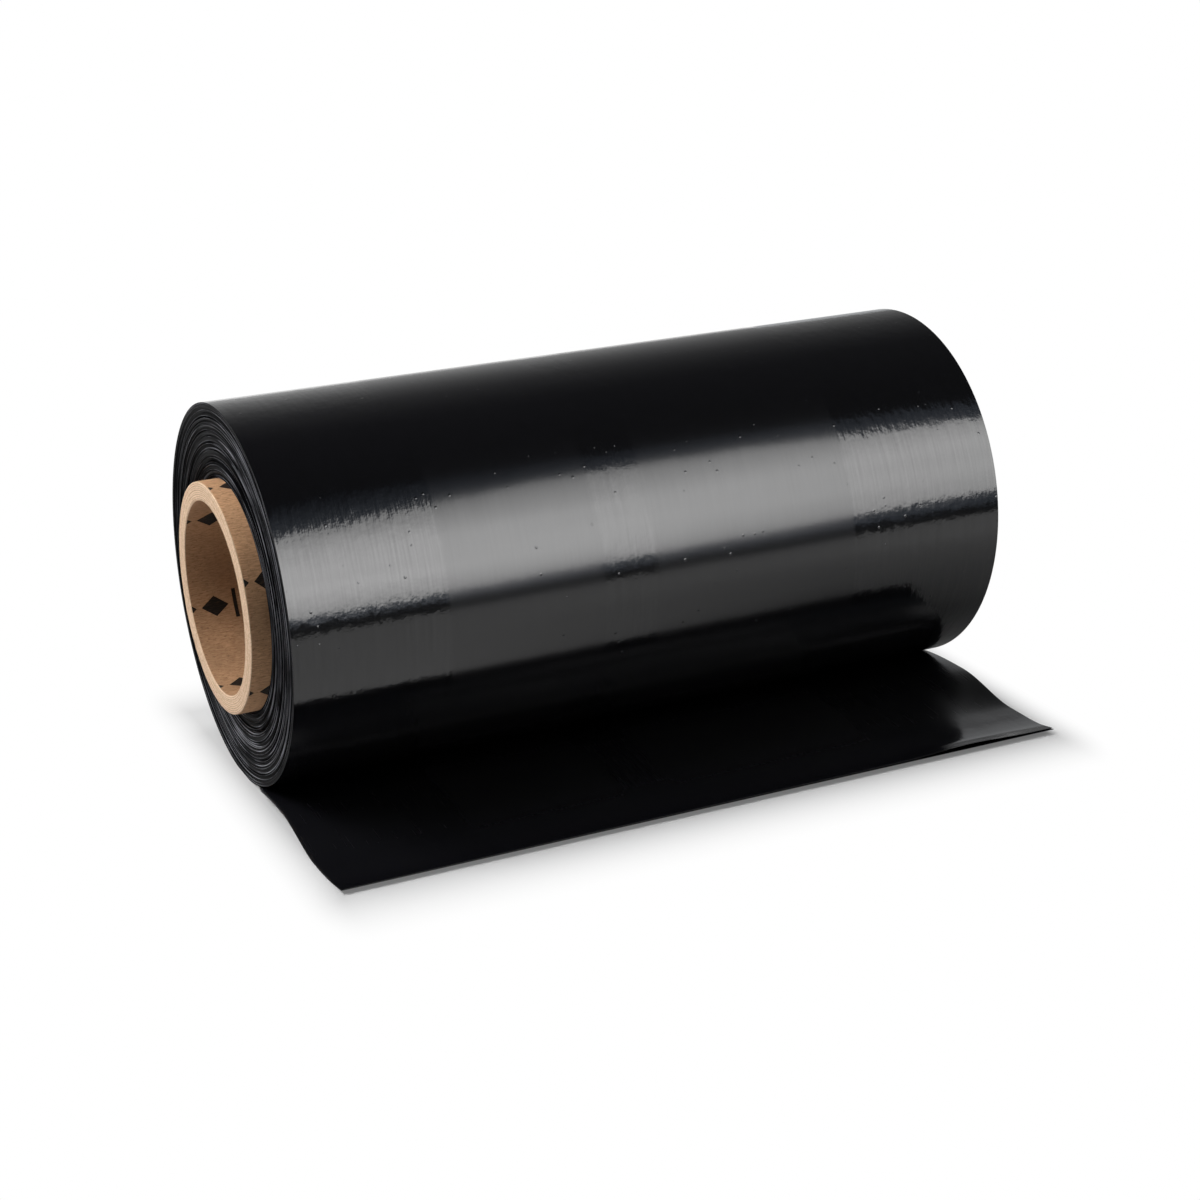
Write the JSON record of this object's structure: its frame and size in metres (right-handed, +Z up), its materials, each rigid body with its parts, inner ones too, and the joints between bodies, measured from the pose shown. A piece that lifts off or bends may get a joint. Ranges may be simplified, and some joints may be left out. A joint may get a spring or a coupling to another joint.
{
  "type": "roll of plastic sheeting",
  "caption": "Roll of glossy black plastic sheeting wound on a cardboard core, lying on its side with its loose end spread in front of it.",
  "frame": {"origin": "on the floor, on the flat strip under the roll, at the middle of the roll's length", "axes": "+X along the roll's axis, -Y towards the loose end that lies in front of it, +Z up"},
  "size_m": [0.3178, 0.1935, 0.1503],
  "materials": {
    "core": "matte brown kraft board with a paler cut end",
    "film": "glossy black film with fine streaks along the winding"
  },
  "bodies": {
    "root": {"cardboard_core": "core", "film_roll": "film"}
  },
  "joints": []
}
